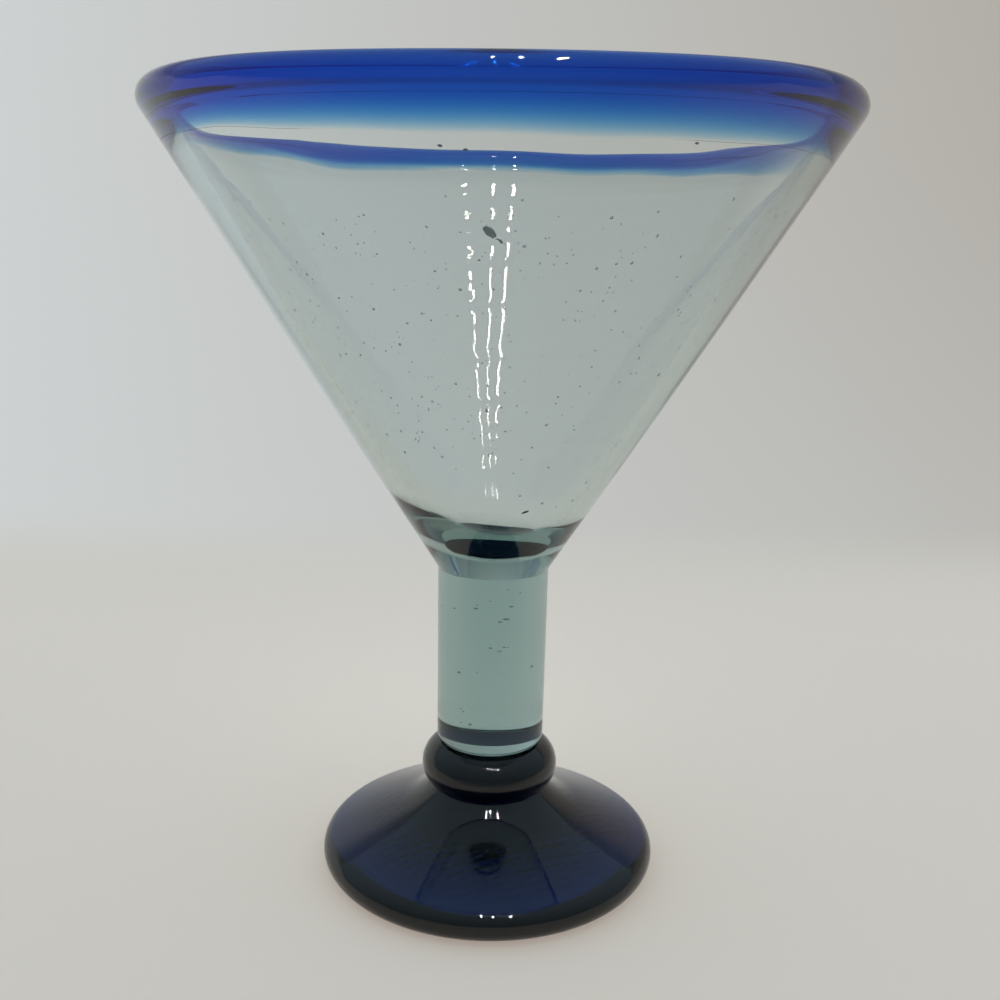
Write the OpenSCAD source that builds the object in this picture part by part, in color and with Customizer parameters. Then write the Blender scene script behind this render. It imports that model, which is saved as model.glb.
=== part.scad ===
// Hand-blown margarita glass: a clear conical bowl with a thick cobalt lip, a solid clear stem,
// a cobalt knop on which the stem stands, and a domed cobalt foot.
// The origin is the centre of the foot's resting ring, and the glass stands along +Z.

/* [Parts] */
// Which piece to draw

/* [Bowl] */
// Outside radius of the mouth, at the lip
rim_r = 66; // [62:0.5:72]
// Height of the lip above the table
glass_height = 154; // [148:0.5:162]
// Thickness of the bowl's wall, square to its surface
wall = 3.6; // [2.8:0.1:4.6]
// Radius of the round bead that finishes the lip
bead_r = 2.8; // [2.2:0.1:3.4]
// How far the wall's outer side runs in under the bead
bead_tuck = 0.15; // [0.05:0.05:0.3]
// Height of the lowest point inside the bowl
bowl_floor_z = 69.5; // [68:0.25:74]
// Height at which the bowl's cone leaves the stem
bowl_base_z = 64.5; // [62:0.25:66]

/* [Cobalt rim] */
// Depth of the full-thickness cobalt on the inside of the wall, from the lip down the wall
band_inside = 6; // [5.8:0.1:9]
// Depth of the cobalt on the outside of the wall, where it thins out to nothing
band_outside = 13; // [11:0.1:20]

/* [Stem] */
// Radius of the stem where it meets the bowl
stem_top_r = 11.3; // [10.6:0.1:12]
// Radius of the stem just above the knop
stem_low_r = 11.1; // [10.4:0.1:12]
// Height of the stem's flat lower end, on the knop
stem_end_z = 26.9; // [26.2:0.1:27]
// Radius of the rounding round the stem's lower end
stem_end_round = 1.5; // [0.8:0.1:2.2]

/* [Knop] */
// Widest radius of the knop
knop_r = 14.2; // [13.6:0.1:15]
// Radius of the knop's round side, seen in section
knop_side_r = 5.6; // [5.2:0.1:6]
// Height of the knop's widest circle
knop_z = 21.6; // [21:0.1:22]

/* [Foot] */
// Outside radius of the foot
foot_r = 35; // [32:0.5:38]
// Height of the foot's top, where it meets the knop
foot_top_z = 17.3; // [16.8:0.1:18]
// Radius of the rounding round the foot's edge, seen in section
foot_edge_r = 3.4; // [2.8:0.1:4]
// Fall of the foot's upper side below the level, in degrees
foot_fall_a = 22; // [20:0.5:24]
// Steepness of the foot where it meets the knop, in degrees from the level
foot_neck_a = 50; // [44:1:56]
// Radius of the shallow hollow under the foot
dish_r = 27; // [22:0.5:29]
// Depth of the hollow under the foot
dish_depth = 2.4; // [1.6:0.1:3]

/* [Hidden] */
$fn = 180;

// The cone's straight side runs from the top of the stem to a tangent on the lip's bead.
bead_x = rim_r - bead_r;
bead_z = glass_height - bead_r;
side_run = bead_x - stem_top_r;
side_rise = bead_z - bowl_base_z;
side_length = sqrt(side_run * side_run + side_rise * side_rise);
cone_a = atan2(side_run, side_rise) + asin(bead_r / side_length);
tuck_r = bead_r - bead_tuck;
tangent_x = bead_x + tuck_r * cos(cone_a);
tangent_z = bead_z - tuck_r * sin(cone_a);

// The inside of the bowl is a cone with a round floor that is tangent to it.
function outside_at(z) = stem_top_r + (z - bowl_base_z) * tan(cone_a);
function inside_at(z) = outside_at(z) - wall / cos(cone_a);
floor_r = inside_at(bowl_floor_z) * cos(cone_a) / (1 - sin(cone_a));
floor_mid_z = bowl_floor_z + floor_r;
floor_join_z = floor_mid_z - floor_r * sin(cone_a);

// The line on which the cobalt ends, inside and outside the wall.
inside_cut_z = glass_height - band_inside * cos(cone_a);
outside_cut_z = glass_height - band_outside * cos(cone_a);

// Upper side of the foot: an edge circle, a straight fall and a hollow curve up to the knop.
knop_tube_x = knop_r - knop_side_r;
knop_drop = knop_z - foot_top_z;
neck_r = knop_tube_x + sqrt(knop_side_r * knop_side_r - knop_drop * knop_drop);
edge_x = foot_r - foot_edge_r;
fall_x = edge_x + foot_edge_r * sin(foot_fall_a);
fall_z = foot_edge_r + foot_edge_r * cos(foot_fall_a);
fall_at_neck_z = fall_z + (fall_x - neck_r) * tan(foot_fall_a);
neck_rise = foot_top_z - fall_at_neck_z;
neck_curve_r = cos(foot_fall_a) * neck_rise / (1 - cos(foot_neck_a - foot_fall_a));
curve_x = neck_r + neck_curve_r * sin(foot_neck_a);
curve_z = foot_top_z + neck_curve_r * cos(foot_neck_a);
curve_end_x = curve_x - neck_curve_r * sin(foot_fall_a);
curve_end_z = curve_z - neck_curve_r * cos(foot_fall_a);
dish_curve_r = (dish_r * dish_r + dish_depth * dish_depth) / (2 * dish_depth);

// Section of the whole bowl, lip included, to the right of the axis.
module bowl_section() {
    translate([bead_x, bead_z]) circle(r = bead_r);
    difference() {
        polygon([
            [0, bowl_base_z],
            [stem_top_r, bowl_base_z],
            [tangent_x, tangent_z],
            [bead_x, bead_z],
            [inside_at(bead_z), bead_z],
            [0, bead_z],
        ]);
        polygon([
            [0, floor_join_z],
            [inside_at(floor_join_z), floor_join_z],
            [inside_at(glass_height), glass_height],
            [0, glass_height],
        ]);
        translate([0, floor_mid_z]) circle(r = floor_r);
    }
}

// Everything above the slanted line where the cobalt ends.
module cobalt_side() {
    polygon([
        [inside_at(inside_cut_z) - wall, inside_cut_z + wall],
        [inside_at(inside_cut_z), inside_cut_z],
        [outside_at(outside_cut_z), outside_cut_z],
        [rim_r + wall, outside_cut_z],
        [rim_r + wall, glass_height + wall],
        [inside_at(inside_cut_z) - wall, glass_height + wall],
    ]);
}

// Section of the stem: a solid bar with a rounded lower end.
module stem_section() {
    end_x = stem_low_r - stem_end_round;
    end_z = stem_end_z + stem_end_round;
    polygon([
        [0, stem_end_z],
        [end_x, stem_end_z],
        [end_x, end_z],
        [stem_low_r, end_z],
        [stem_top_r, bowl_base_z],
        [0, bowl_base_z],
    ]);
    intersection() {
        translate([end_x, end_z]) circle(r = stem_end_round);
        translate([0, stem_end_z]) square([stem_low_r, stem_end_round]);
    }
}

// Section of the foot, from its resting ring up to the knop.
module foot_section() {
    difference() {
        union() {
            polygon([
                [0, 0],
                [edge_x, 0],
                [fall_x, fall_z],
                [curve_end_x, curve_end_z],
                [neck_r, foot_top_z],
                [0, foot_top_z],
            ]);
            translate([edge_x, foot_edge_r]) circle(r = foot_edge_r);
        }
        translate([curve_x, curve_z]) circle(r = neck_curve_r);
        translate([0, dish_depth - dish_curve_r]) circle(r = dish_curve_r);
    }
}

// Clear cone with a thick round floor.
module bowl() {
    color([0.72, 0.79, 0.78, 0.35]) rotate_extrude() difference() {
        bowl_section();
        cobalt_side();
    }
}

// Cobalt lip: a round bead and a skirt that thins out down the outside of the wall.
module rim_band() {
    color([0.05, 0.18, 0.62, 0.7]) rotate_extrude() intersection() {
        bowl_section();
        cobalt_side();
    }
}

// Solid clear bar between the bowl and the knop.
module stem() {
    color([0.60, 0.72, 0.70, 0.45]) rotate_extrude() stem_section();
}

// Cobalt bulge with a flat top, on which the stem stands.
module knop() {
    color([0.06, 0.09, 0.20]) rotate_extrude() {
        intersection() {
            translate([knop_tube_x, knop_z]) circle(r = knop_side_r);
            translate([0, foot_top_z]) square([knop_r, stem_end_z - foot_top_z]);
        }
        translate([0, foot_top_z]) square([knop_tube_x, stem_end_z - foot_top_z]);
    }
}

// Domed cobalt foot that stands on a narrow ring.
module foot() {
    color([0.08, 0.10, 0.24]) rotate_extrude() foot_section();
}

bowl();
rim_band();
stem();
knop();
foot();
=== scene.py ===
"""Looks of a hand-blown margarita glass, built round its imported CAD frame.

Every piece is a closed body of revolution in millimetres whose section may change slowly round
the axis. One gentle warp, the same for all pieces, gives the glass its hand-made unevenness, so
that faces fused in the real glass stay together. A mesh is written in metres.

Angles round the axis start at the right of the glass, and a quarter turn on is its back. A row is
one point of the section at every angle, an array of angles by (r, z).
"""

import logging
import math
from collections.abc import Callable
from dataclasses import dataclass, field
from enum import Enum
from typing import ClassVar

import bpy
import numpy as np
from mathutils import Matrix, Vector


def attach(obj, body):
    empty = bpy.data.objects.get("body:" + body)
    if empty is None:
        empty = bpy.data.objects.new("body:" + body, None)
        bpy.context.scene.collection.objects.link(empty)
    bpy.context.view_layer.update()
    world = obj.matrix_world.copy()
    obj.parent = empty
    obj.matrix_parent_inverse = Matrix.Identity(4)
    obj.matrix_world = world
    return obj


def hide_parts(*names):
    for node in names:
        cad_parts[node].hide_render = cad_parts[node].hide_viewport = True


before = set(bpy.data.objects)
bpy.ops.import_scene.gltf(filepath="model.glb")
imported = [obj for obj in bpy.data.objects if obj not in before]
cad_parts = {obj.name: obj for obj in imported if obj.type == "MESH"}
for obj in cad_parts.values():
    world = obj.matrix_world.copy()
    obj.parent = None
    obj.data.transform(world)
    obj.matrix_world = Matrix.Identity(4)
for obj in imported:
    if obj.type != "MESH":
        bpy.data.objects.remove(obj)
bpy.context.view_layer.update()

LOG = logging.getLogger("margarita_glass")
METRES_PER_MM = 0.001
FULL_TURN = 2 * math.pi
INDEX_ATTRIBUTE = "index_of_refraction"
MARK_ATTRIBUTE = "tool_mark_strength"

Pair = tuple[float, float]
Triple = tuple[float, float, float]
Colour = tuple[float, float, float, float]
Faces = list[list[int]]
FusedTest = Callable[[np.ndarray, np.ndarray], np.ndarray]


class Face(Enum):
    """Kind of a face: open to the air, or fused to the next gather of glass."""

    OPEN = 0
    FUSED = 1


def ramp(value: np.ndarray, start: float, end: float) -> np.ndarray:
    """Share that goes evenly from 0 at start to 1 at end, and stays at 0 and 1 beyond them."""
    return np.clip((value - start) / (end - start), 0, 1)


def eased(share: np.ndarray) -> np.ndarray:
    """Smooth step: the share squared times 3 less twice the share."""
    return share * share * (3 - 2 * share)


def between(start: np.ndarray, end: np.ndarray, steps: int) -> np.ndarray:
    """Even steps from start to end, both included: start * (1 - share) + end * share.

    Args:
        start: a number, a point or a value at every angle.
        end: the same for the end.
        steps: number of steps.

    Returns:
        The steps, stacked on a new first axis.
    """
    start, end = np.broadcast_arrays(start, end)
    share = np.linspace(0, 1, steps).reshape(-1, *[1] * start.ndim)
    return start * (1 - share) + end * share


def cubic(
    start: np.ndarray, first: np.ndarray, second: np.ndarray, end: np.ndarray, steps: int
) -> np.ndarray:
    """A cubic curve: (1-t)^3 start + 3 (1-t)^2 t first + 3 (1-t) t^2 second + t^3 end.

    Args:
        start: the first point, or a row of them.
        first: what the curve leaves start towards.
        second: what the curve reaches end from.
        end: the last point, or a row of them.
        steps: number of values of t, from 0 to 1.

    Returns:
        The points, stacked on a new first axis.
    """
    t = np.linspace(0, 1, steps).reshape(-1, *[1] * np.ndim(start))
    near = (1 - t) ** 3 * start + 3 * (1 - t) ** 2 * t * first
    return near + 3 * (1 - t) * t**2 * second + t**3 * end


def arc(mid: Pair, radius: float, start: float, end: float, steps: int) -> np.ndarray:
    """Points on an arc in the section plane: mid + radius * (cos turn, sin turn).

    Args:
        mid: the arc's centre, as (r, z).
        radius: its radius.
        start: first turn in degrees, where 0 points outward and 90 up.
        end: last turn.
        steps: number of points.

    Returns:
        The points, steps by (r, z).
    """
    turn = np.radians(np.linspace(start, end, steps))
    return np.stack([mid[0] + radius * np.cos(turn), mid[1] + radius * np.sin(turn)], axis=1)


@dataclass(frozen=True)
class GlassSizes:
    """Sizes of the glass, in millimetres and degrees, as in the CAD source."""

    rim_r: float = 66.0
    height: float = 154.0
    wall: float = 3.6
    bead_r: float = 2.8
    floor_z: float = 69.5
    base_z: float = 64.5
    stem_top_r: float = 11.3
    stem_low_r: float = 11.1
    stem_end_z: float = 26.9
    stem_round: float = 1.5
    knop_r: float = 14.2
    knop_side_r: float = 5.6
    knop_z: float = 21.6
    foot_r: float = 35.0
    foot_top_z: float = 17.3
    foot_edge_r: float = 3.4
    foot_fall: float = 22.0
    foot_neck: float = 50.0
    dish_r: float = 27.0
    dish_depth: float = 2.4

    @property
    def cone(self) -> float:
        """Lean of the bowl's side from the vertical: its plain lean and the bead's share of it.

        Returns:
            The angle in radians.
        """
        run = self.rim_r - self.bead_r - self.stem_top_r
        rise = self.height - self.bead_r - self.base_z
        return math.atan2(run, rise) + math.asin(self.bead_r / math.hypot(run, rise))

    @property
    def knop_tube(self) -> float:
        """Radius of the circle that the middle of the knop's round side runs on."""
        return self.knop_r - self.knop_side_r

    @property
    def stem_flat(self) -> float:
        """Radius of the flat of the stem's end."""
        return self.stem_low_r - self.stem_round

    def outside(self, z: float) -> float:
        """Radius of the bowl's outer side at height z."""
        return self.stem_top_r + (z - self.base_z) * math.tan(self.cone)

    def inside(self, z: float) -> float:
        """Radius of the bowl's inner side at height z."""
        return self.outside(z) - self.wall / math.cos(self.cone)


@dataclass(frozen=True)
class WallSizes:
    """Finer shape of the blown wall, seen only in the glass itself, in millimetres.

    Depths are measured down the wall's outer side from the height of the lip. The bead ends at
    the turn shoulder, in degrees, and a curve runs from there to the crease. Each cord is its
    share, its number of waves round the glass, its start, and the depth in which it turns by one
    radian.
    """

    shoulder: float = 82.0
    shoulder_reach: float = 1.1
    crease_depth: float = 8.0
    crease_slope: float = 13.0
    crease_reach: float = 1.3
    lip_extra: float = 0.18
    extra_end: float = 21.0
    extra_rise: Pair = (5.0, 9.0)
    extra_at_sides: float = 0.6
    lip_taper: float = 1.4
    taper_fall: Pair = (14.5, 6.5)
    taper_less_at_sides: float = 0.55
    ripple: float = 0.10
    cords: tuple[tuple[float, float, float, float], ...] = (
        (0.5, 5, 1.0, 90),
        (0.3, 11, 0.0, 23),
        (0.2, 19, 0.0, -31),
    )
    cords_rise: Pair = (16, 26)
    cords_fall: Pair = (88, 68)
    fuse_gap: float = 0.02
    contact_mid_y: float = 7.4
    contact_r: float = 9.0
    band_depths: tuple[float, ...] = (15.0, 7.8, 6.7, 7.6, 11.6, 11.6, 12.8, 13.4)
    band_waves: tuple[Triple, ...] = ((0.12, 9, 1.0), (0.08, 17, 0.0))
    full_depth: float = 3.7
    full_share: float = 0.37
    full_less_at_back: float = 1.3

    def band_outside(self, angle: np.ndarray) -> np.ndarray:
        """Depth at which the cobalt ends on the outside.

        The depths are given every 45 degrees from the right, and eased in between by half a
        cosine. Two small waves are added, each amount * sin(turns * a + start).

        Args:
            angle: angles round the axis.

        Returns:
            The depth at each angle.
        """
        depth = np.array(self.band_depths)
        at = np.mod(angle, FULL_TURN) * len(depth) / FULL_TURN
        low = np.floor(at).astype(int) % len(depth)
        share = 0.5 - 0.5 * np.cos(math.pi * (at - np.floor(at)))
        plain = depth[low] * (1 - share) + np.roll(depth, -1)[low] * share
        return plain + sum(
            amount * np.sin(turns * angle + start) for amount, turns, start in self.band_waves
        )

    def band_inside(self, angle: np.ndarray) -> np.ndarray:
        """Depth down to which the cobalt fills the wall's whole thickness.

        It is full_depth + full_share * band_outside, less full_less_at_back * sin(a)^2 at the
        back.

        Args:
            angle: angles round the axis.

        Returns:
            The depth at each angle.
        """
        back = np.clip(np.sin(angle), 0, 1) ** 2
        plain = self.full_depth + self.full_share * self.band_outside(angle)
        return plain - self.full_less_at_back * back

    def extra(self, depth: np.ndarray, angle: np.ndarray) -> np.ndarray:
        """Added thickness of the wall: a slow taper below the bead, and cords further down.

        The slow taper falls evenly from lip_extra at the bead to 0 at extra_end and is greater
        at the sides. A second taper of lip_taper eases to 0 where the cobalt ends, and is
        greater at the front and back. The cords are ripple * fade * the sum of
        share * sin(waves * a + start + depth / turn).

        Args:
            depth: depths down the wall.
            angle: angle of each.

        Returns:
            The thickness added at each.
        """
        side = np.cos(angle) ** 2
        rise = eased(ramp(depth, *self.extra_rise))
        fall = ramp(depth, self.extra_end, self.extra_rise[1])
        slow = self.lip_extra * (1.0 + self.extra_at_sides * side) * rise * fall
        middle = self.lip_taper * (1.0 - self.taper_less_at_sides * side)
        quick = middle * rise * eased(ramp(depth, *self.taper_fall))
        fade = ramp(depth, *self.cords_rise) * ramp(depth, *self.cords_fall)
        cords = sum(
            share * np.sin(waves * angle + start + depth / turn)
            for share, waves, start, turn in self.cords
        )
        return slow + quick + self.ripple * fade * cords

    def is_fused(self, x: np.ndarray, y: np.ndarray) -> np.ndarray:
        """Whether the stem's end is fused to the knop there: not in a crescent at the front."""
        return np.hypot(x, y - self.contact_mid_y) < self.contact_r


@dataclass(frozen=True)
class HandMade:
    """The unevenness of a glass worked by hand, as slow waves round the axis.

    Each wave is a (cosine, sine) pair of amounts for one, two and three turns. Each sag is its
    middle in degrees, its depth and its width in degrees, and each mark wave its share, the rise
    in which it turns by one radian and its turns round the glass. Pairs of heights say where
    something fades in or out. Lengths are in millimetres.
    """

    lip_height: float = 0.11
    height_waves: tuple[Pair, ...] = ((0.31, -0.08), (0.63, -0.28), (0.05, -0.49))
    lip_radius: float = 0.13
    radius_waves: tuple[Pair, ...] = ((0.17, -0.43), (-0.45, 0.26))
    sags: tuple[Triple, ...] = ((42, 2.3, 19), (90, 0.75, 25), (138, 1.5, 18))
    still_z: float = 70.0
    lip_z: float = 154.0
    full_r: float = 50.0
    mark: float = 0.042
    mark_waves: tuple[Triple, ...] = ((1.0, 1.3, 3), (0.8, 0.75, 5))
    marks_rise: Pair = (76, 84)
    marks_fall: Pair = (146, 141)
    marks_full_r: float = 20.0
    marks_side: Pair = (0.15, 0.85)
    lines_side: Pair = (0.3, 0.6)
    lines_rise: Pair = (72, 78)
    lines_fall: Pair = (145, 140)
    patch: Pair = (0.75, 0.25)
    patch_waves: tuple[Triple, ...] = ((2.3, 9, 0), (5.1, -14, 1))
    most_rise: float = 1.05

    @staticmethod
    def wave(angle: np.ndarray, level: float, waves: tuple[Pair, ...]) -> np.ndarray:
        """Sum of level and each wave's cosine and sine at its number of turns.

        Args:
            angle: angles round the axis.
            level: the amount that is the same all round.
            waves: (cosine, sine) amounts for one turn, two turns and so on.

        Returns:
            The sum at each angle.
        """
        total = np.full_like(angle, level)
        for turns, (cosine, sine) in enumerate(waves, 1):
            total += cosine * np.cos(turns * angle) + sine * np.sin(turns * angle)
        return total

    def sag(self, angle: np.ndarray) -> np.ndarray:
        """How far the lip sags at the back.

        It is the sum of bells, depth * exp(-0.5 * ((angle - middle) / width)^2).

        Args:
            angle: angles round the axis.

        Returns:
            The sag at each angle.
        """
        turn = np.degrees(angle)
        return sum(
            depth * np.exp(-0.5 * ((turn - middle) / width) ** 2)
            for middle, depth, width in self.sags
        )

    def tool_marks(self, angle: np.ndarray, radius: np.ndarray, z: np.ndarray) -> np.ndarray:
        """Shallow level ripples of the bowl's back wall, left by the shaping tool.

        They are mark * side * fade * the sum of share * sin(z / rise + turns * a). The side is
        the first of marks_side plus the second times sin(a), and at least 0, so it is 1 at the
        back and 0 at the front.

        Args:
            angle: angle of each point.
            radius: its radius.
            z: its height.

        Returns:
            What each radius gains.
        """
        level, swing = self.marks_side
        side = np.clip(level + swing * np.sin(angle), 0, 1)
        fade = ramp(z, *self.marks_rise) * ramp(z, *self.marks_fall)
        wave = sum(
            share * np.sin(z / rise + turns * angle) for share, rise, turns in self.mark_waves
        )
        return self.mark * side * fade * ramp(radius, 0, self.marks_full_r) * wave

    def line_strength(self, points: np.ndarray) -> np.ndarray:
        """How strong the tool's fine level lines are at each point, from 0 to 1.

        They lie on the bowl's back half and fade out at its lip and floor. What breaks them into
        patches is the first of patch plus the second times the product of
        sin(z / rise + turns * a + start) over patch_waves.

        Args:
            points: N by 3 positions.

        Returns:
            The strength at each.
        """
        x, y, z = points.T
        angle = np.arctan2(y, x)
        side = ramp(np.sin(angle), *self.lines_side)
        fade = ramp(z, *self.lines_rise) * ramp(z, *self.lines_fall)
        level, swing = self.patch
        waves = math.prod(
            np.sin(z / rise + turns * angle + start) for rise, turns, start in self.patch_waves
        )
        return side * fade * (level + swing * waves)

    def warp(self, points: np.ndarray) -> np.ndarray:
        """Moves points up and out by the waves and the sag, which grow with height squared.

        The growth is 0 up to still_z, 1 at lip_z and no more than most_rise squared.

        Args:
            points: N by 3 positions.

        Returns:
            The moved positions.
        """
        x, y, z = points.T
        angle = np.arctan2(y, x)
        radius = np.hypot(x, y)
        share = (z - self.still_z) / (self.lip_z - self.still_z)
        rise = np.clip(share, 0.0, self.most_rise) ** 2
        rise *= ramp(radius, 0, self.full_r)
        new_r = radius + rise * self.wave(angle, self.lip_radius, self.radius_waves)
        new_r += self.tool_marks(angle, radius, z)
        lift = self.wave(angle, self.lip_height, self.height_waves) - self.sag(angle)
        return np.stack([new_r * np.cos(angle), new_r * np.sin(angle), z + rise * lift], axis=1)


def linear(hex_colour: str) -> Colour:
    """Turns an sRGB hex colour into linear RGBA.

    Args:
        hex_colour: six hex digits.

    Returns:
        Linear red, green, blue and an alpha of 1.
    """
    parts = [int(hex_colour[i : i + 2], 16) / 255 for i in (0, 2, 4)]
    rgb = [c / 12.92 if c <= 0.04045 else ((c + 0.055) / 1.055) ** 2.4 for c in parts]
    return (rgb[0], rgb[1], rgb[2], 1.0)


def add_node(
    tree: bpy.types.NodeTree,
    kind: str,
    inputs: dict[str | int, object] | None = None,
    **settings: object,
) -> bpy.types.Node:
    """Adds a shader node with its settings and links.

    Args:
        tree: the node tree.
        kind: the node's type.
        inputs: for an input's name or number, its value or the output that feeds it.
        **settings: the node's own settings.

    Returns:
        The node.
    """
    made = tree.nodes.new(kind)
    for key, value in settings.items():
        setattr(made, key, value)
    for key, value in (inputs or {}).items():
        if isinstance(value, bpy.types.NodeSocket):
            tree.links.new(value, made.inputs[key])
        else:
            made.inputs[key].default_value = value
    return made


def range_inputs(
    value: bpy.types.NodeSocket, reach: Pair, result: Pair = (0.0, 1.0)
) -> dict[str | int, object]:
    """Inputs for a node that maps a value's reach to a range of results.

    Args:
        value: the output that gives the value.
        reach: first and last value.
        result: what these two become.

    Returns:
        The inputs by name.
    """
    (low, high), (start, end) = reach, result
    return {"Value": value, "From Min": low, "From Max": high, "To Min": start, "To Max": end}


def new_material(name: str) -> bpy.types.Material:
    """Makes an empty node material.

    Args:
        name: its name.

    Returns:
        The material.
    """
    made = bpy.data.materials.new(name)
    made.use_nodes = True
    made.node_tree.nodes.clear()
    return made


@dataclass(frozen=True)
class GlassFinish:
    """One melt of glass: share of red, green and blue lost per millimetre, and its index.

    The lines are the height in millimetres of the fine level lines left by the shaping tool.
    Their grain is how many noise cells they have in a metre across and up. The volume's density
    is the largest loss times margin, so that its tint keeps a little of every colour.
    """

    name: str
    loss: Triple
    index: float = 1.5
    roughness: float = 0.0
    lines: float = 0.0
    line_grain: Triple = (55.0, 55.0, 1300.0)
    margin: float = 1.05

    def material(self) -> bpy.types.Material:
        """Makes the glass, once for each melt, with its colour in the volume.

        The index of each face comes from the mesh: fused faces have an index of 1, so light
        crosses them as it crosses solid glass.

        Returns:
            The material.
        """
        found = bpy.data.materials.get(self.name)
        if found:
            return found
        made = new_material(self.name)
        tree = made.node_tree
        inputs = {
            "Base Color": (1.0, 1.0, 1.0, 1.0),
            "Transmission Weight": 1.0,
            "Roughness": self.roughness,
            "IOR": self.index,
        }
        if self.lines:
            inputs["Normal"] = self.tool_lines(tree)
        glass = add_node(tree, "ShaderNodeBsdfPrincipled", inputs)
        index = add_node(tree, "ShaderNodeAttribute", attribute_name=INDEX_ATTRIBUTE)
        tree.links.new(index.outputs["Fac"], glass.inputs["IOR"])
        per_metre = [c / METRES_PER_MM for c in self.loss]
        density = max(per_metre) * self.margin
        tint = tuple(1 - c / density for c in per_metre) + (1.0,)
        volume = add_node(
            tree, "ShaderNodeVolumeAbsorption", {"Color": tint, "Density": density}
        )
        ends = {"Surface": glass.outputs["BSDF"], "Volume": volume.outputs["Volume"]}
        add_node(tree, "ShaderNodeOutputMaterial", ends)
        return made

    def tool_lines(self, tree: bpy.types.NodeTree) -> bpy.types.NodeSocket:
        """Adds the fine level lines as a bump, as strong at each point as the mesh says.

        Args:
            tree: the material's node tree.

        Returns:
            The output that holds the normal.
        """
        place = add_node(tree, "ShaderNodeTexCoord")
        stretch = add_node(
            tree,
            "ShaderNodeMapping",
            {"Vector": place.outputs["Object"], "Scale": self.line_grain},
        )
        grain = {"Vector": stretch.outputs["Vector"], "Scale": 1.0, "Detail": 1.0}
        lines = add_node(tree, "ShaderNodeTexNoise", grain)
        strength = add_node(tree, "ShaderNodeAttribute", attribute_name=MARK_ATTRIBUTE)
        inputs = {
            "Strength": strength.outputs["Fac"],
            "Distance": self.lines * METRES_PER_MM,
            "Height": lines.outputs["Fac"],
        }
        return add_node(tree, "ShaderNodeBump", inputs).outputs["Normal"]


# Blown from recycled bottle glass: greenish where it is thick, with the tool's level lines.
CLEAR = GlassFinish("clear_recycled_glass_blown", (0.047, 0.034, 0.036), lines=0.04)
# The same melt, drawn solid and fire-polished: a smooth skin and a deeper sea green.
STEM_CLEAR = GlassFinish("clear_recycled_glass_solid", (0.049, 0.033, 0.034))
# Cobalt glass wrapped round the lip hot: pure blue where thin, near black along a long path.
COBALT = GlassFinish("cobalt_glass_lip_wrap", (1.12, 0.47, 0.100))
# A weaker cobalt melt, pressed and fire-polished: inky and glossy in the knop and the foot.
COBALT_FOOT = GlassFinish("cobalt_glass_pressed_foot", (0.56, 0.41, 0.205))


@dataclass(frozen=True)
class PlainFinish:
    """An opaque finish: an sRGB hex colour and a roughness."""

    name: str
    colour: str
    roughness: float

    def material(self) -> bpy.types.Material:
        """Makes the material.

        Returns:
            The material.
        """
        made = new_material(self.name)
        inputs = {"Base Color": linear(self.colour), "Roughness": self.roughness}
        body = add_node(made.node_tree, "ShaderNodeBsdfPrincipled", inputs)
        add_node(made.node_tree, "ShaderNodeOutputMaterial", {"Surface": body.outputs["BSDF"]})
        return made


@dataclass(frozen=True)
class SweepFinish:
    """Lit matte backing: warm white on the floor, cooler up the left, greyer up the right.

    Half of its light is its own, so that it stays bright in a dim room. That half fades out in
    front of the glass and above the view. Places are in metres.
    """

    name: str = "matte_backlit_sweep"
    paint: str = "dcdad6"
    roughness: float = 0.9
    floor_glow: str = "9b8d7d"
    left_glow: str = "a7a39f"
    right_glow: str = "806a52"
    side_to_side: Pair = (-0.35, 0.35)
    floor_to_wall: Pair = (0.001, 0.016)
    glass_front: Pair = (-0.16, -0.05)
    above_view: Pair = (0.38, 0.66)
    least_glow: float = 0.2

    def material(self) -> bpy.types.Material:
        """Makes the material from the place of each point.

        Returns:
            The material.
        """
        made = new_material(self.name)
        tree = made.node_tree
        place = add_node(tree, "ShaderNodeTexCoord")
        split = add_node(tree, "ShaderNodeSeparateXYZ", {"Vector": place.outputs["Object"]})
        x, y, z = (split.outputs[axis] for axis in "XYZ")
        across = add_node(tree, "ShaderNodeMapRange", range_inputs(x, self.side_to_side))
        up = add_node(
            tree,
            "ShaderNodeMapRange",
            range_inputs(z, self.floor_to_wall),
            interpolation_type="SMOOTHSTEP",
        )
        front = add_node(
            tree,
            "ShaderNodeMapRange",
            range_inputs(y, self.glass_front),
            interpolation_type="SMOOTHSTEP",
        )
        fade = range_inputs(z, self.above_view, (1.0, self.least_glow))
        high = add_node(tree, "ShaderNodeMapRange", fade)
        wall = add_node(
            tree,
            "ShaderNodeMix",
            {
                "Factor": across.outputs["Result"],
                "A": linear(self.left_glow),
                "B": linear(self.right_glow),
            },
            data_type="RGBA",
        )
        both = add_node(
            tree,
            "ShaderNodeMix",
            {
                "Factor": up.outputs["Result"],
                "A": linear(self.floor_glow),
                "B": wall.outputs["Result"],
            },
            data_type="RGBA",
        )
        inputs = {0: front.outputs["Result"], 1: high.outputs["Result"]}
        strength = add_node(tree, "ShaderNodeMath", inputs, operation="MULTIPLY")
        glow = add_node(
            tree,
            "ShaderNodeBsdfPrincipled",
            {
                "Base Color": linear(self.paint),
                "Roughness": self.roughness,
                "Emission Color": both.outputs["Result"],
                "Emission Strength": strength.outputs["Value"],
            },
        )
        add_node(tree, "ShaderNodeOutputMaterial", {"Surface": glow.outputs["BSDF"]})
        return made


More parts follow.
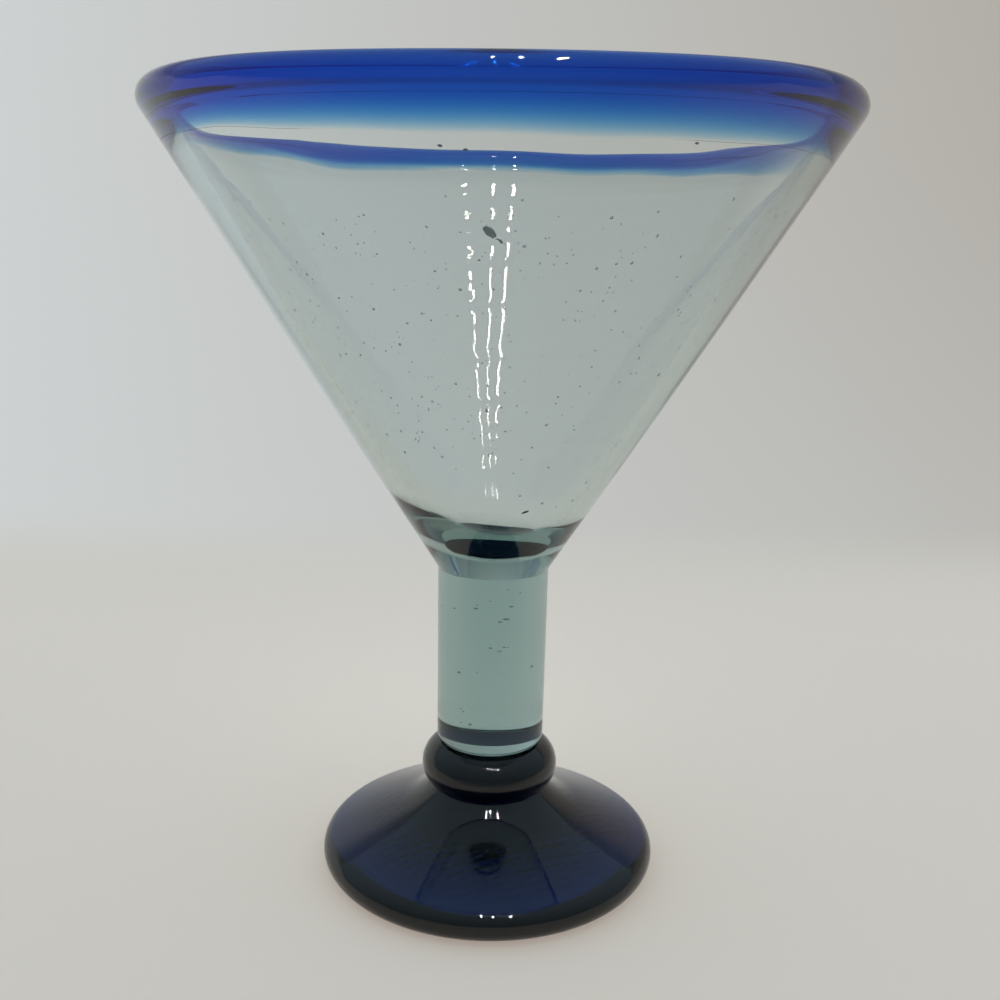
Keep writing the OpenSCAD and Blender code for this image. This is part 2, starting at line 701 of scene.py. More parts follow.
def add_object(
    name: str,
    points: np.ndarray,
    faces: Faces,
    finish: GlassFinish | PlainFinish | SweepFinish,
    smooth: bool = True,
) -> bpy.types.Object:
    """Makes a mesh object at the origin and puts it in the scene.

    Args:
        name: name of the object and its mesh.
        points: N by 3 positions in millimetres.
        faces: corners of each face.
        finish: what it is made of.
        smooth: whether its faces are shaded smooth.

    Returns:
        The object.
    """
    mesh = bpy.data.meshes.new(name)
    mesh.from_pydata((points * METRES_PER_MM).tolist(), [], faces)
    mesh.polygons.foreach_set("use_smooth", [smooth] * len(faces))
    mesh.update()
    mesh.materials.append(finish.material())
    made = bpy.data.objects.new(name, mesh)
    bpy.context.scene.collection.objects.link(made)
    return made


@dataclass
class Strip:
    """Rows of a section at every angle: an array of rows by angles by (r, z)."""

    rows: np.ndarray
    face: Face = Face.OPEN
    test: FusedTest | None = None


class Lathe:
    """Turns strips round the axis. The section runs with the glass on its left side."""

    same = 1e-6
    on_axis = 1e-9

    def __init__(self, around: int) -> None:
        """Starts an empty section.

        Args:
            around: number of angles round the axis.
        """
        self.around = around
        self.angle = np.arange(around) * (FULL_TURN / around)
        self.strips: list[Strip] = []

    def add(
        self, points: np.ndarray, face: Face = Face.OPEN, test: FusedTest | None = None
    ) -> None:
        """Adds a strip.

        Args:
            points: rows by 2, the same at every angle, or rows by angles by 2.
            face: kind of the faces that leave each of its rows.
            test: function of x and y that says which of these faces are fused, or None.
        """
        if points.ndim == 2:
            points = np.repeat(points[:, None], self.around, axis=1)
        self.strips.append(Strip(points, face, test))

    def joined(self) -> tuple[list[np.ndarray], list[Strip]]:
        """Joins the strips. A strip's last row is dropped where the next one starts on it.

        Returns:
            The rows, and the strip that the faces leaving each row belong to.
        """
        rows: list[np.ndarray] = []
        strips: list[Strip] = []
        for strip in self.strips:
            for row in strip.rows:
                if rows and np.abs(rows[-1] - row).max() < self.same:
                    strips[-1] = strip
                    continue
                rows.append(row)
                strips.append(strip)
        return rows, strips

    def build(self) -> tuple[np.ndarray, Faces, list[int]]:
        """Makes the surface: each row joined to the next, and the last to the first.

        A row (r, z) becomes the ring (r cos a, r sin a, z). A row on the axis is one point, and
        a section that starts and ends on the axis is closed by such a pole at each end.

        Returns:
            Points, faces and the kind of each face.
        """
        rows, strips = self.joined()
        points: list[np.ndarray] = []
        index: list[np.ndarray] = []
        poles: list[bool] = []
        count = 0
        for r, z in (row.T for row in rows):
            poles.append(bool(np.abs(r).max() < self.on_axis))
            ring = np.stack([r * np.cos(self.angle), r * np.sin(self.angle), z], axis=1)
            points.append(ring[:1] * (0, 0, 1) if poles[-1] else ring)
            index.append(count + np.arange(self.around) * (not poles[-1]))
            count += len(points[-1])
        faces: Faces = []
        kinds: list[int] = []
        middle = self.angle + math.pi / self.around
        for i in range(len(rows) - (poles[0] and poles[-1])):
            after = (i + 1) % len(rows)
            low, high = index[i], index[after]
            corners = np.stack([low, np.roll(low, -1), np.roll(high, -1), high], axis=1)
            faces += corners[:, int(poles[i]) : 4 - int(poles[after])].tolist()
            kind = np.full(self.around, strips[i].face.value)
            if strips[i].test is not None:
                r = (rows[i][:, 0] + rows[after][:, 0]) / 2
                kind = strips[i].test(r * np.cos(middle), r * np.sin(middle)).astype(int)
            kinds += kind.tolist()
        return np.concatenate(points), faces, kinds


@dataclass
class Shell:
    """A closed mesh under construction: points, faces and the kind of each face."""

    points: list[np.ndarray] = field(default_factory=list)
    faces: Faces = field(default_factory=list)
    kinds: list[int] = field(default_factory=list)
    count: int = 0

    def add(self, points: np.ndarray, faces: Faces, kinds: list[int]) -> None:
        """Adds a closed part.

        Args:
            points: N by 3 positions.
            faces: corners of each face, counted from the part's first point.
            kinds: kind of each face.
        """
        self.faces += [[i + self.count for i in f] for f in faces]
        self.kinds += kinds
        self.points.append(points)
        self.count += len(points)


def seed_bubble(
    centre: np.ndarray, size: np.ndarray, around: int = 8, up: int = 6
) -> tuple[np.ndarray, Faces, list[int]]:
    """A seed bubble: a small egg whose faces look inward, so that the glass is outside it.

    Its points are centre + size * (sin t cos a, sin t sin a, cos t).

    Args:
        centre: its middle.
        size: its half size along each axis.
        around: number of angles a.
        up: number of steps of t from pole to pole.

    Returns:
        Points, faces and the kind of each face.
    """
    t = np.repeat(math.pi * np.arange(1, up) / up, around)
    a = np.tile(FULL_TURN * np.arange(around) / around, up - 1)
    rings = np.stack([np.sin(t) * np.cos(a), np.sin(t) * np.sin(a), np.cos(t)], axis=1)
    points = np.concatenate([[[0.0, 0.0, 1.0]], rings, [[0.0, 0.0, -1.0]]])
    last = len(points) - 1
    low = last - around
    faces: Faces = []
    for k in range(around):
        j = (k + 1) % around
        faces.append([0, 1 + j, 1 + k])
        for ring in range(1, low, around):
            above = ring + around
            faces.append([ring + k, ring + j, above + j, above + k])
        faces.append([low + k, low + j, last])
    return points * size + centre, faces, [Face.OPEN.value] * len(faces)


class LipProfile:
    """Section of the blown wall in wall coordinates: depth down the outer side, and inward.

    The inner side is a bead, a soft S-curve to a faint crease and a straight wall, with a slow
    taper and faint upright cords.
    """

    bead_steps = 84
    curve_steps = 14

    def __init__(self, sizes: GlassSizes, finer: WallSizes) -> None:
        """Works out the bead and the curve, and the length along them.

        Args:
            sizes: sizes of the glass.
            finer: finer shape of the wall.
        """
        self.sizes = sizes
        self.finer = finer
        s, f = sizes, finer
        self.bead_depth = (s.bead_r + s.bead_r * math.sin(s.cone)) / math.cos(s.cone)
        centre = (self.bead_depth, s.bead_r)
        bead = arc(centre, s.bead_r, -90, -360 + f.shoulder, self.bead_steps)
        turn, slope = math.radians(f.shoulder), math.radians(f.crease_slope)
        crease = np.array([f.crease_depth, s.wall])
        first = bead[-1] + f.shoulder_reach * np.array([math.sin(turn), -math.cos(turn)])
        second = crease - f.crease_reach * np.array([math.cos(slope), -math.sin(slope)])
        blend = cubic(bead[-1], first, second, crease, self.curve_steps)
        self.table = np.concatenate([bead, blend[1:]])
        steps = np.hypot(*np.diff(self.table, axis=0).T)
        self.length = np.concatenate([[0.0], np.cumsum(steps)])
        self.wall_start = self.table[-1][0]

    def place(self, depth: np.ndarray, inward: np.ndarray, angle: np.ndarray) -> np.ndarray:
        """Turns wall coordinates into (r, z), with the added thickness on the inner half.

        The point lies depth down the outer side and inward square to it, where inward gains
        the added thickness times its share of the wall.

        Args:
            depth: rows by angles.
            inward: the same.
            angle: the angles.

        Returns:
            Rows by angles by (r, z).
        """
        s = self.sizes
        deep = inward + np.clip(inward / s.wall, 0, 1) * self.finer.extra(depth, angle)
        z_out = s.height - depth * math.cos(s.cone)
        r_out = s.outside(0.0) + z_out * math.tan(s.cone)
        r = r_out - deep * math.cos(s.cone)
        return np.stack([r, z_out + deep * math.sin(s.cone)], axis=-1)

    def at_length(self, at: np.ndarray) -> tuple[np.ndarray, np.ndarray]:
        """Depth and inward of points on the inner side, by length along the bead and curve.

        Args:
            at: the lengths.

        Returns:
            Their depth and inward.
        """
        depth, inward = self.table.T
        return np.interp(at, self.length, depth), np.interp(at, self.length, inward)

    def joint_length(self, angle: np.ndarray) -> np.ndarray:
        """Length along the bead and curve at which the cobalt ends on the inner side.

        Args:
            angle: the angles.

        Returns:
            The length at each.
        """
        past = self.length > self.length[self.bead_steps // 2]
        depth = self.finer.band_inside(angle)
        return np.interp(depth, self.table[past, 0], self.length[past])

    def joint(self, angle: np.ndarray, steps: int) -> tuple[np.ndarray, np.ndarray]:
        """Rows on the slanted joint from the outer side to the inner side.

        Args:
            angle: the angles.
            steps: number of rows.

        Returns:
            Depth and inward, each rows by angles.
        """
        depth, inward = self.at_length(self.joint_length(angle))
        outer = self.finer.band_outside(angle)
        return between(outer, depth, steps), between(0.0, inward, steps)


@dataclass(frozen=True)
class Piece:
    """A named piece of the glass that becomes one object."""

    sizes: GlassSizes
    finer: WallSizes
    hand: HandMade
    name: ClassVar[str] = ""
    finish: ClassVar[GlassFinish] = CLEAR
    smooth_below: ClassVar[float] = 38.0

    def shell(self) -> Shell:
        """Returns the piece's closed mesh."""
        raise NotImplementedError

    def place(self) -> bpy.types.Object:
        """Builds the object, rides it on the body and lets it stand for its CAD node.

        Returns:
            The object.
        """
        shell = self.shell()
        kinds = np.array(shell.kinds)
        points = self.hand.warp(np.concatenate(shell.points))
        made = add_object(f"{self.name}_glass", points, shell.faces, self.finish)
        mesh = made.data
        mesh.name = self.name
        mesh.set_sharp_from_angle(angle=math.radians(self.smooth_below))
        self.sharpen_joints(mesh, kinds)
        index = np.where(kinds == Face.FUSED.value, 1.0, self.finish.index)
        mesh.attributes.new(INDEX_ATTRIBUTE, "FLOAT", "FACE").data.foreach_set("value", index)
        if self.finish.lines:
            strength = self.hand.line_strength(points)
            layer = mesh.attributes.new(MARK_ATTRIBUTE, "FLOAT", "POINT")
            layer.data.foreach_set("value", strength)
        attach(made, "root")
        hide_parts(self.name)
        LOG.info("%s: %d points, %d faces", self.name, len(points), len(shell.faces))
        return made

    @staticmethod
    def sharpen_joints(mesh: bpy.types.Mesh, kinds: np.ndarray) -> None:
        """Marks the edges between open and fused faces sharp, so that shading stays true.

        Args:
            mesh: the mesh.
            kinds: kind of each face.
        """
        edge = np.empty(len(mesh.loops), dtype=np.int32)
        mesh.loops.foreach_get("edge_index", edge)
        corners = np.empty(len(mesh.polygons), dtype=np.int32)
        mesh.polygons.foreach_get("loop_total", corners)
        kind = np.repeat(kinds, corners)
        low = np.full(len(mesh.edges), max(f.value for f in Face))
        high = np.full(len(mesh.edges), min(f.value for f in Face))
        np.minimum.at(low, edge, kind)
        np.maximum.at(high, edge, kind)
        sharp = np.empty(len(mesh.edges), dtype=bool)
        mesh.edges.foreach_get("use_edge_sharp", sharp)
        mesh.edges.foreach_set("use_edge_sharp", sharp | (low != high))


@dataclass(frozen=True)
class Bowl(Piece):
    """Clear blown cone with a thick round floor, a fused base and a fused slanted top.

    The floor's surface leaves the wall higher on the left, by pool_lift. Seeds start seed_below
    under that join and end seed_top under the lip, crowded towards the top. Their sizes are half
    sizes in millimetres, and seed_depth is two shares of the wall's thickness.
    """

    name = "bowl"
    finish = CLEAR
    around: int = 280
    base_rows: int = 6
    side_rows: int = 120
    joint_rows: int = 8
    lip_rows: int = 10
    wall_rows: int = 130
    pool_rows: int = 32
    pool_lift: float = 5.5
    lift_turn: float = 0.25
    pool_reach: float = 0.72
    pool_flat: float = 6.2
    seeds: int = 520
    seed_number: int = 11
    seed_grid: tuple[int, int] = (6, 5)
    seed_below: float = 4.0
    seed_top: float = 18.0
    seed_share: Pair = (0.02, 1.0)
    seed_crowding: float = 0.6
    seed_depth: Pair = (0.25, 0.7)
    seed_stretch: Pair = (0.8, 1.25)
    seed_least: float = 0.115
    seed_more: float = 0.14
    large_share: float = 0.04
    large_times: float = 1.5

    def shell(self) -> Shell:
        """Base, outer side, slanted joint and inner side down to the axis.

        Returns:
            The closed mesh.
        """
        s, gap = self.sizes, self.finer.fuse_gap
        profile = LipProfile(s, self.finer)
        lathe = Lathe(self.around)
        angle = lathe.angle
        base = s.base_z + gap
        base_depth = (s.height - base) / math.cos(s.cone)
        lathe.add(between((0, base), (s.outside(base), base), self.base_rows), Face.FUSED)
        top = self.finer.band_outside(angle) + 2 * gap
        depth = between(base_depth, top, self.side_rows)
        lathe.add(profile.place(depth, np.zeros_like(depth), angle))
        depth, inward = profile.joint(angle, self.joint_rows)
        lathe.add(profile.place(depth + 2 * gap, inward, angle), Face.FUSED)
        start = profile.joint_length(angle) + 2 * gap
        at = between(start, profile.length[-1], self.lip_rows)
        lathe.add(profile.place(*profile.at_length(at), angle))
        floor_r = s.inside(s.floor_z) * math.cos(s.cone) / (1 - math.sin(s.cone))
        join_z = s.floor_z + floor_r * (1 - math.sin(s.cone))
        left = (1 - np.cos(angle - self.lift_turn)) / 2
        high = join_z + self.pool_lift * left**2
        join_depth = (s.height - high + s.wall * math.sin(s.cone)) / math.cos(s.cone)
        depth = between(profile.wall_start, join_depth, self.wall_rows)
        wall = profile.place(depth, np.full_like(depth, s.wall), angle)
        lathe.add(wall)
        lathe.add(self.pool(wall[-1], wall[-1] - wall[-2])[1:-1])
        lathe.add(np.array([[0.0, s.floor_z]]))
        made = Shell()
        made.add(*lathe.build())
        self.add_seeds(made, join_z)
        return made

    def pool(self, start: np.ndarray, along: np.ndarray) -> np.ndarray:
        """Rows of the floor's surface: a cubic from the wall's end to level at the axis.

        Args:
            start: the wall's last row, angles by (r, z).
            along: the wall's last step at each angle.

        Returns:
            Rows by angles by (r, z).
        """
        along = along / np.hypot(along[:, 0], along[:, 1])[:, None]
        end = np.zeros_like(start)
        end[:, 1] = self.sizes.floor_z
        reach = (start[:, 1:] - end[:, 1:]) * self.pool_reach
        flat = end + [self.pool_flat, 0.0]
        return cubic(start, start + along * reach, flat, end, self.pool_rows)

    def add_seeds(self, shell: Shell, join_z: float) -> None:
        """Scatters seed bubbles through the wall, from a seeded generator.

        Args:
            shell: the mesh that they go into.
            join_z: height at which the floor's surface leaves the wall.
        """
        s = self.sizes
        rng = np.random.default_rng(self.seed_number)
        start = join_z - self.seed_below
        rise = s.height - self.seed_top - start
        for _ in range(self.seeds):
            z = start + rise * rng.uniform(*self.seed_share) ** self.seed_crowding
            depth = rng.uniform(*self.seed_depth) * s.wall / math.cos(s.cone)
            r = s.outside(z) - depth
            a = rng.uniform(0, FULL_TURN)
            size = self.seed_least + self.seed_more * rng.random() ** 2
            if rng.random() < self.large_share:
                size *= self.large_times
            centre = np.array([r * math.cos(a), r * math.sin(a), z])
            stretch = np.array([1, 1, rng.uniform(*self.seed_stretch)]) * size
            shell.add(*seed_bubble(centre, stretch, *self.seed_grid))


@dataclass(frozen=True)
class RimBand(Piece):
    """Cobalt lip: a round bead and a skirt that thins out down the outside of the wall."""

    name = "rim_band"
    finish = COBALT
    around: int = 360
    skirt_rows: int = 24
    bead_rows: int = 96
    joint_rows: int = 12

    def shell(self) -> Shell:
        """Skirt's outer side up, round the bead, down the inner side, back along the joint.

        Returns:
            The closed mesh.
        """
        profile = LipProfile(self.sizes, self.finer)
        lathe = Lathe(self.around)
        angle = lathe.angle
        depth = between(self.finer.band_outside(angle), profile.bead_depth, self.skirt_rows)
        lathe.add(profile.place(depth, np.zeros_like(depth), angle))
        at = between(0.0, profile.joint_length(angle), self.bead_rows)
        lathe.add(profile.place(*profile.at_length(at), angle))
        depth, inward = profile.joint(angle, self.joint_rows)
        lathe.add(profile.place(depth[::-1], inward[::-1], angle)[:-1], Face.FUSED)
        made = Shell()
        made.add(*lathe.build())
        return made


@dataclass(frozen=True)
class Stem(Piece):
    """Solid clear bar, fused to the bowl above and to the middle of the knop's top below."""

    name = "stem"
    finish = STEM_CLEAR
    around: int = 256
    end_rows: int = 49
    edge_rows: int = 16
    side_rows: int = 50
    top_rows: int = 14
    seeds: int = 26
    seed_number: int = 5
    seed_z: Pair = (32, 62)
    seed_r: Pair = (1, 9.6)
    seed_size: Pair = (0.10, 0.24)
    seed_stretch: Triple = (1.5, 1.5, 0.8)

    def shell(self) -> Shell:
        """Bottom disc out, round the lower edge, up the side, top disc in, and the seeds.

        Returns:
            The closed mesh.
        """
        s, f = self.sizes, self.finer
        low = s.stem_end_z + f.fuse_gap
        top = s.base_z - f.fuse_gap
        side = (s.stem_low_r, low + s.stem_round)
        edge = (s.stem_flat, low + s.stem_round)
        lathe = Lathe(self.around)
        lathe.add(between((0, low), (s.stem_flat, low), self.end_rows), test=f.is_fused)
        lathe.add(arc(edge, s.stem_round, -90, 0, self.edge_rows))
        lathe.add(between(side, (s.stem_top_r, top), self.side_rows))
        lathe.add(between((s.stem_top_r, top), (0, top), self.top_rows), Face.FUSED)
        made = Shell()
        made.add(*lathe.build())
        rng = np.random.default_rng(self.seed_number)
        for _ in range(self.seeds):
            z = rng.uniform(*self.seed_z)
            r = rng.uniform(*self.seed_r)
            a = rng.uniform(0, FULL_TURN)
            size = rng.uniform(*self.seed_size)
            centre = np.array([r * math.cos(a), r * math.sin(a), z])
            made.add(*seed_bubble(centre, np.array(self.seed_stretch) * size))
        return made


@dataclass(frozen=True)
class Knop(Piece):
    """Cobalt bulge, fused to the foot below and to the middle of the stem's end above."""

    name = "knop"
    finish = COBALT_FOOT
    around: int = 256
    base_rows: int = 12
    bulge_rows: int = 60
    ledge_rows: int = 4
    top_rows: int = 49

    def shell(self) -> Shell:
        """Bottom disc out, round the bulge, in over the flat top to the axis.

        Returns:
            The closed mesh.
        """
        s, f = self.sizes, self.finer
        low = s.foot_top_z + f.fuse_gap
        top = s.stem_end_z - f.fuse_gap
        start = math.degrees(math.asin((low - s.knop_z) / s.knop_side_r))
        end = math.degrees(math.asin((top - s.knop_z) / s.knop_side_r))
        bulge = arc((s.knop_tube, s.knop_z), s.knop_side_r, start, end, self.bulge_rows)
        flat = (s.stem_flat, top)
        lathe = Lathe(self.around)
        lathe.add(between((0, low), bulge[0], self.base_rows), Face.FUSED)
        lathe.add(bulge)
        lathe.add(between(bulge[-1], flat, self.ledge_rows))
        lathe.add(between(flat, (0, top), self.top_rows), test=f.is_fused)
        made = Shell()
        made.add(*lathe.build())
        return made


@dataclass(frozen=True)
class Foot(Piece):
    """Domed cobalt foot with a rounded edge and a shallow hollow under it.

    The hollow has fine dimples of height chill, each sine of which has its (x, y) waves in
    radians per millimetre. They fade out over dimples_rise from the axis and over dimples_fall
    from the hollow's edge.
    """

    name = "foot"
    finish = COBALT_FOOT
    around: int = 288
    under_rows: int = 56
    ring_rows: int = 4
    edge_rows: int = 30
    fall_rows: int = 26
    neck_rows: int = 20
    top_rows: int = 12
    chill: float = 0.011
    dimples: tuple[Pair, ...] = ((2.9, 1.1), (-1.3, 3.1), (2.2, -2.4), (0.7, -2.0), (-1.9, -0.4))
    dimples_start: float = 1.7
    dimples_rise: float = 7.0
    dimples_fall: float = 3.0

    def shell(self) -> Shell:
        """Hollow from the axis out, ring, edge, fall, hollow curve up and top disc in.

        Returns:
            The closed mesh.
        """
        s = self.sizes
        neck = s.knop_tube + math.sqrt(s.knop_side_r**2 - (s.knop_z - s.foot_top_z) ** 2)
        edge_x = s.foot_r - s.foot_edge_r
        fall, steep = math.radians(s.foot_fall), math.radians(s.foot_neck)
        fall_x = edge_x + s.foot_edge_r * math.sin(fall)
        fall_z = s.foot_edge_r * (1 + math.cos(fall))
        at_neck = fall_z + (fall_x - neck) * math.tan(fall)
        curve_r = math.cos(fall) * (s.foot_top_z - at_neck) / (1 - math.cos(steep - fall))
        curve = (neck + curve_r * math.sin(steep), s.foot_top_z + curve_r * math.cos(steep))
        dish = (s.dish_r**2 + s.dish_depth**2) / (2 * s.dish_depth)
        reach = math.degrees(math.asin(s.dish_r / dish))
        under = arc((0, s.dish_depth - dish), dish, 90, 90 - reach, self.under_rows)
        under[0] = (0.0, s.dish_depth)
        neck_arc = arc(curve, curve_r, -90 - s.foot_fall, -90 - s.foot_neck, self.neck_rows)
        edge = (edge_x, s.foot_edge_r)
        lathe = Lathe(self.around)
        lathe.add(self.chilled(under, lathe.angle))
        lathe.add(between((s.dish_r, 0), (edge_x, 0), self.ring_rows))
        lathe.add(arc(edge, s.foot_edge_r, -90, 90 - s.foot_fall, self.edge_rows))
        lathe.add(between((fall_x, fall_z), neck_arc[0], self.fall_rows))
        lathe.add(neck_arc)
        lathe.add(between(neck_arc[-1], (0, s.foot_top_z), self.top_rows), Face.FUSED)
        made = Shell()
        made.add(*lathe.build())
        return made

    def chilled(self, under: np.ndarray, angle: np.ndarray) -> np.ndarray:
        """The hollow with the fine dimples that a cold steel plate leaves, at every angle.

        The height gains chill * fade * the sum of sin(p x + q y + dimples_start * p), where
        (p, q) are the waves of each sine. The fade is 0 at the axis and at the hollow's edge.

        Args:
            under: the plain hollow, rows by (r, z).
            angle: the angles round the axis.

        Returns:
            Rows by angles by (r, z).
        """
        r = under[:, :1]
        edge = self.sizes.dish_r
        fade = ramp(r, 0, self.dimples_rise) * ramp(r, edge, edge - self.dimples_fall)
        x, y = r * np.cos(angle), r * np.sin(angle)
        dimples = sum(np.sin(p * x + q * y + self.dimples_start * p) for p, q in self.dimples)
        rows = np.repeat(under[:, None], len(angle), axis=1)
        rows[..., 1] += self.chill * fade * dimples
        return rows


@dataclass(frozen=True)
class Inclusion:
    """An unmelted grain in the bowl's wall: a stretched, tilted egg with soft lumps.

    Its angle and tilt are in radians, and its height, its depth from the wall's outside and its
    half sizes in millimetres.
    """

    name: str
    angle: float
    height: float
    depth: float
    size: Triple
    tilt: float
    colour: str
    roughness: float = 0.6
    lump: float = 0.14
    lump_waves: Triple = (6.3, 9.9, 15.6)
    grid: tuple[int, int] = (14, 10)

    def place(self, sizes: GlassSizes, hand: HandMade) -> bpy.types.Object:
        """Builds the grain inside the wall. Its long side lies along the wall, tilted.

        Each point is moved out by 1 + lump * sin(lump_waves . point + 1).

        Args:
            sizes: sizes of the glass.
            hand: its unevenness.

        Returns:
            The object.
        """
        points, faces, _ = seed_bubble(np.zeros(3), np.array(self.size), *self.grid)
        lumps = 1 + self.lump * np.sin(points @ np.array(self.lump_waves) + 1)
        points = points * lumps[:, None]
        turn = Matrix.Rotation(self.angle + math.pi / 2, 3, "Z")
        turn = turn @ Matrix.Rotation(-sizes.cone, 3, "X") @ Matrix.Rotation(self.tilt, 3, "Y")
        points = points @ np.array(turn.transposed())
        r = sizes.outside(self.height) - self.depth / math.cos(sizes.cone)
        points += [r * math.cos(self.angle), r * math.sin(self.angle), self.height]
        # Furnace stone and scale that never melted: dull, opaque specks, pale or near black.
        finish = PlainFinish(f"unmelted_stone_{self.name}", self.colour, self.roughness)
        made = add_object(self.name, hand.warp(points), [f[::-1] for f in faces], finish)
        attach(made, "root")
        LOG.info("%s: %d points", self.name, len(points))
        return made


GRAINS = (
    Inclusion("stone_in_wall", -1.600, 130.6, 1.7, (1.32, 0.66, 0.60), 0.95, "dcd8cc"),
    Inclusion("stone_tail_in_wall", -1.569, 129.3, 1.7, (0.62, 0.22, 0.2), 0.95, "ccc8bc"),
    Inclusion("fleck_in_wall", -1.285, 80.6, 1.6, (0.78, 0.24, 0.22), -0.50, "17181c"),
    Inclusion("grain_near_band_0", -1.714, 142.1, 1.5, (0.38, 0.18, 0.2), 0.1, "c0c0c2"),
    Inclusion("grain_near_band_1", -1.655, 141.6, 1.5, (0.36, 0.18, 0.2), 0.0, "c0c0c2"),
    Inclusion("grain_near_band_2", -1.093, 143.0, 1.5, (0.34, 0.14, 0.2), 0.0, "c0c0c2"),
)


@dataclass(frozen=True)
class PaintedKnopLightDisc:
    """Thin slate disc on the knop's top, under the stem's end: painted light.

    Its colour stands in for the light seen through the cobalt knop down the stem. It is a thin
    closed disc in the gap between the two pieces, a little narrower than the stem's flat end.
    """

    name: str = "painted_knop_light_disc"
    around: int = 64
    inset: float = 0.05
    thickness: float = 0.008
    # Painted light: a dull, dense slate blue that stands in for the light seen through the cobalt
    # knop.
    finish: PlainFinish = PlainFinish("painted_knop_light", "53678a", 0.8)

    def place(self, sizes: GlassSizes, hand: HandMade) -> bpy.types.Object:
        """Builds the disc: the ring (r cos a, r sin a, z) at its lower and its upper height.

        Args:
            sizes: sizes of the glass.
            hand: its unevenness.

        Returns:
            The object.
        """
        n = self.around
        turn = np.tile(np.arange(n) * (FULL_TURN / n), 2)
        radius = sizes.stem_flat - self.inset
        z = sizes.stem_end_z + np.repeat([-0.5, 0.5], n) * self.thickness
        points = np.stack([radius * np.cos(turn), radius * np.sin(turn), z], axis=1)
        ring = np.arange(n)
        after = np.roll(ring, -1)
        faces = [ring[::-1].tolist(), (ring + n).tolist()]
        faces += np.stack([ring, after, n + after, n + ring], axis=1).tolist()
        made = add_object(self.name, hand.warp(points), faces, self.finish, smooth=False)
        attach(made, "root")
        LOG.info("%s: %d points", self.name, len(points))
        return made


@dataclass(frozen=True)
class Sweep:
    """A pale sweep: a floor that rises behind the glass on a long curve, plain and matte.

    Lengths are in millimetres. The floor lies a little below the foot.
    """

    name: str = "sweep"
    front: float = 900.0
    curve_y: float = 140.0
    curve_r: float = 420.0
    curve_steps: int = 32
    lean: float = 32.0
    wall: float = 900.0
    half_width: float = 1600.0
    drop: float = 0.3
    finish: SweepFinish = SweepFinish()

    def place(self) -> None:
        """Builds the floor, the curve and the leaning wall as one ribbon."""
        middle = (self.curve_y, self.curve_r)
        curve = arc(middle, self.curve_r, -90, -self.lean, self.curve_steps)
        lean = math.radians(self.lean)
        top = curve[-1] + self.wall * np.array([math.sin(lean), math.cos(lean)])
        y, z = np.concatenate([[(-self.front, 0.0)], curve, [top]]).T
        x = np.tile([-self.half_width, self.half_width], len(y))
        points = np.stack([x, np.repeat(y, 2), np.repeat(z, 2) - self.drop], axis=1)
        faces = (2 * np.arange(len(y) - 1)[:, None] + [0, 1, 3, 2]).tolist()
        add_object(self.name, points, faces, self.finish)


@dataclass(frozen=True)
class Lamps:
    """A cluster of small ceiling lamps on the camera's side, seen only in gloss.

    Each column of lamps has its middle, and the rows lie up and down from it, square to the
    light's way. Lengths are in metres.
    """

    columns: tuple[Triple, ...] = ((-0.07, -0.76, 1.66), (0.10, -0.80, 1.62), (0.35, -0.78, 1.60))
    rows: Triple = (-0.13, 0.0, 0.13)
    row_way: Triple = (0.0, 0.89, 0.45)
    aim: Triple = (0.0, 0.0, 0.08)
    size: Pair = (0.021, 0.085)
    watts: float = 1.5
    colour: str = "fffaf2"

    def place(self) -> None:
        """Builds the lamps, column by column."""
        for column, middle in enumerate(self.columns):
            for row, shift in enumerate(self.rows):
                place = Vector(middle) + shift * Vector(self.row_way)
                self.lamp(f"ceiling_lamp_{column}_{row}", place)

    def lamp(self, name: str, place: Vector) -> None:
        """Builds one oblong lamp that looks at the aim.

        Args:
            name: its name.
            place: where it is.
        """
        lamp = bpy.data.lights.new(name, "AREA")
        lamp.shape = "RECTANGLE"
        lamp.size, lamp.size_y = self.size
        lamp.energy = self.watts
        lamp.color = linear(self.colour)[:3]
        made = bpy.data.objects.new(name, lamp)
        made.location = place
        made.rotation_euler = (Vector(self.aim) - place).to_track_quat("-Z", "Y").to_euler()
        made.visible_diffuse = False
        made.visible_transmission = False
        bpy.context.scene.collection.objects.link(made)


@dataclass(frozen=True)
class Room:
    """Soft light from all round: brightest overhead and behind, dim from the camera's side.

    Its strength goes from the first to the second of strengths as weights . direction goes from
    the first to the second of reach.
    """

    colour: str = "bcd4e2"
    weights: Triple = (0.0, 0.5, 0.9)
    reach: Pair = (-0.3, 0.7)
    strengths: Pair = (0.39, 0.733)

    def place(self) -> None:
        """Builds the world."""
        world = bpy.data.worlds.new("soft_room")
        bpy.context.scene.world = world
        world.use_nodes = True
        tree = world.node_tree
        tree.nodes.clear()
        place = add_node(tree, "ShaderNodeTexCoord")
        inputs = {0: place.outputs["Generated"], 1: self.weights}
        weigh = add_node(tree, "ShaderNodeVectorMath", inputs, operation="DOT_PRODUCT")
        inputs = range_inputs(weigh.outputs["Value"], self.reach, self.strengths)
        scale = add_node(tree, "ShaderNodeMapRange", inputs)
        inputs = {"Color": linear(self.colour), "Strength": scale.outputs["Result"]}
        back = add_node(tree, "ShaderNodeBackground", inputs)
        add_node(tree, "ShaderNodeOutputWorld", {"Surface": back.outputs["Background"]})


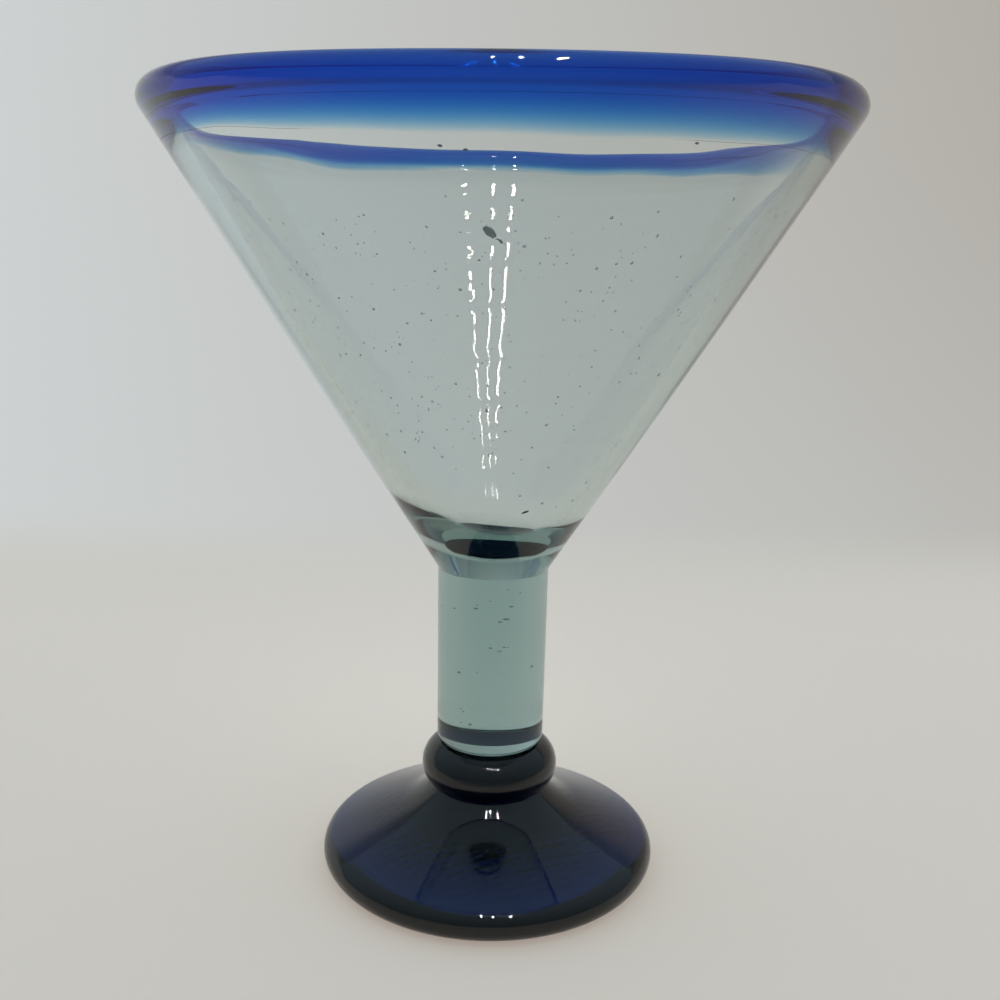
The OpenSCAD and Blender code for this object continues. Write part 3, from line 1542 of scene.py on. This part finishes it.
@dataclass(frozen=True)
class PhotoCamera:
    """The photo's viewpoint: pinhole fit to the outline, in millimetres and degrees."""

    focal_px: float = 1120.0
    image_px: float = 1000.0
    sensor: float = 36.0
    near: float = 10.0
    distance: float = 221.2
    height: float = 126.5
    pitch: float = 12.34
    roll: float = 1.24
    yaw: float = 0.28

    def place(self) -> None:
        """Builds the camera: turned by yaw, tipped down by pitch, then rolled."""
        data = bpy.data.cameras.new("photo_camera")
        data.sensor_width = self.sensor
        data.lens = self.focal_px * self.sensor / self.image_px
        data.clip_start = self.near * METRES_PER_MM
        pitch, roll = math.radians(self.pitch), math.radians(self.roll)
        turn = Matrix.Rotation(-math.radians(self.yaw), 3, "Z")
        ahead = turn @ Vector((0, math.cos(pitch), -math.sin(pitch)))
        up = turn @ Vector((0, math.sin(pitch), math.cos(pitch)))
        right = turn @ Vector((1, 0, 0))
        side = right * math.cos(roll) + up * math.sin(roll)
        top = up * math.cos(roll) - right * math.sin(roll)
        axes = Matrix([[side[i], top[i], -ahead[i]] for i in range(3)])
        made = bpy.data.objects.new("photo_camera", data)
        made.location = (0, -self.distance * METRES_PER_MM, self.height * METRES_PER_MM)
        made.rotation_euler = axes.to_euler()
        bpy.context.scene.collection.objects.link(made)
        bpy.context.scene.camera = made


def set_light_paths() -> None:
    """Shows colours plainly, with enough bounces for light to cross the nested glass."""
    scene = bpy.context.scene
    scene.view_settings.view_transform = "Standard"
    scene.cycles.max_bounces = 32
    scene.cycles.transmission_bounces = 32
    scene.cycles.glossy_bounces = 8
    scene.cycles.sample_clamp_indirect = 60.0


def main() -> None:
    """Builds the glass, the stage, the light and the camera."""
    logging.basicConfig(level=logging.INFO, format="%(message)s")
    set_light_paths()
    sizes, finer, hand = GlassSizes(), WallSizes(), HandMade()
    for piece in (Bowl, RimBand, Stem, Knop, Foot):
        piece(sizes, finer, hand).place()
    # The slate disc under the stem's end is painted light on the knop's top.
    for part in (*GRAINS, PaintedKnopLightDisc()):
        part.place(sizes, hand)
    for stage in (Sweep(), Room(), Lamps(), PhotoCamera()):
        stage.place()


if __name__ == "__main__":
    main()
